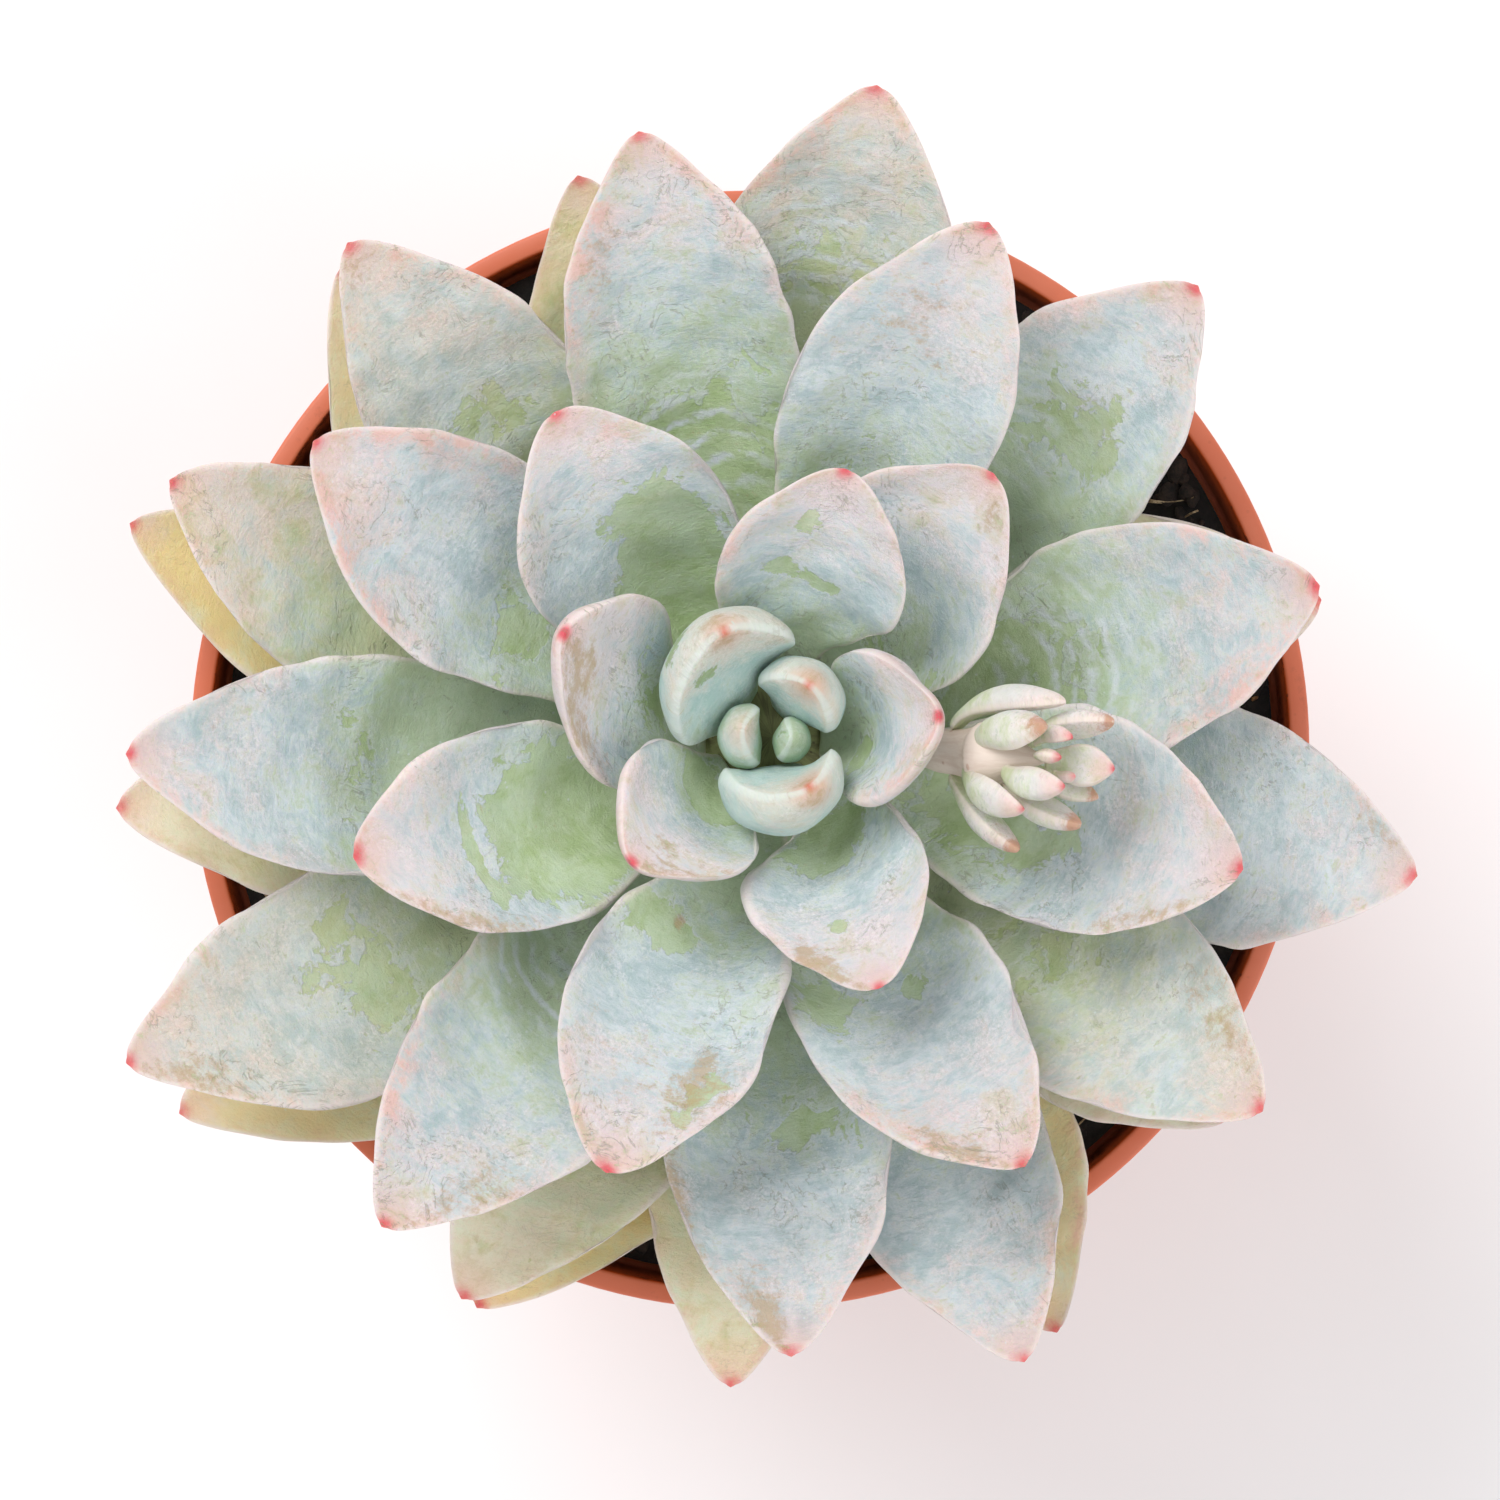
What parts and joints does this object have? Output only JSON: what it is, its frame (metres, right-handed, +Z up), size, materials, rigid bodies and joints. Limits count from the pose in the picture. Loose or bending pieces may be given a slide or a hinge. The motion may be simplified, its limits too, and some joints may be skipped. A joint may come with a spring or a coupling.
{
  "type": "potted succulent",
  "caption": "Rosette succulent with broad pointed waxy blue-green leaves, pink margins and a small side shoot, standing in soil in a round tapered nursery pot.",
  "frame": {"origin": "middle of the pot's flat underside, on the surface that the pot stands on", "axes": "+Z up along the pot's axis; the side shoot leans towards +X and slightly towards -Y"},
  "size_m": [0.1338, 0.1344, 0.1465],
  "materials": {
    "pot": "terracotta-orange moulded plastic, satin outside, glossy and a little dirty inside",
    "soil": "black moist potting soil with fibres and a few white perlite grains",
    "stem": "short green-brown stem with leaf scars",
    "young_leaf": "blue-green skin under fine pale wax, pink spot at the tip",
    "leaf": "pale blue-green wax bloom, rubbed through to green near the root, pink margin and red tip",
    "old_leaf": "yellowing green under wax, tan and pink margin",
    "stalk": "pale pink-green stalk",
    "bract": "whitish green bract with a brown-pink tip"
  },
  "bodies": {
    "root": {"pot": "pot", "soil": "soil", "stem": "stem", "leaf_01": "young_leaf", "leaf_02": "young_leaf", "leaf_03": "young_leaf", "leaf_04": "young_leaf", "leaf_05": "young_leaf", "leaf_06": "leaf", "leaf_07": "leaf", "leaf_08": "leaf", "leaf_09": "leaf", "leaf_10": "leaf", "leaf_11": "leaf", "leaf_12": "leaf", "leaf_13": "leaf", "leaf_14": "leaf", "leaf_15": "leaf", "leaf_16": "leaf", "leaf_17": "leaf", "leaf_18": "leaf", "leaf_19": "leaf", "leaf_20": "leaf", "leaf_21": "leaf", "leaf_22": "leaf", "leaf_23": "leaf", "leaf_24": "leaf", "leaf_25": "leaf", "leaf_26": "leaf", "leaf_27": "leaf", "leaf_28": "leaf", "leaf_29": "leaf", "leaf_30": "leaf", "leaf_31": "leaf", "leaf_32": "old_leaf", "leaf_33": "old_leaf", "leaf_34": "old_leaf", "leaf_35": "old_leaf", "leaf_36": "old_leaf", "leaf_37": "old_leaf", "leaf_38": "old_leaf", "leaf_39": "old_leaf", "leaf_40": "old_leaf", "leaf_41": "old_leaf", "leaf_42": "old_leaf", "leaf_43": "old_leaf", "flower_stalk": "stalk", "bract_01": "bract", "bract_02": "bract", "bract_03": "bract", "bract_04": "bract", "bract_05": "bract", "bract_06": "bract", "bract_07": "bract", "bract_08": "bract", "bract_09": "bract", "bract_10": "bract", "bract_11": "bract", "bract_12": "bract"}
  },
  "joints": []
}
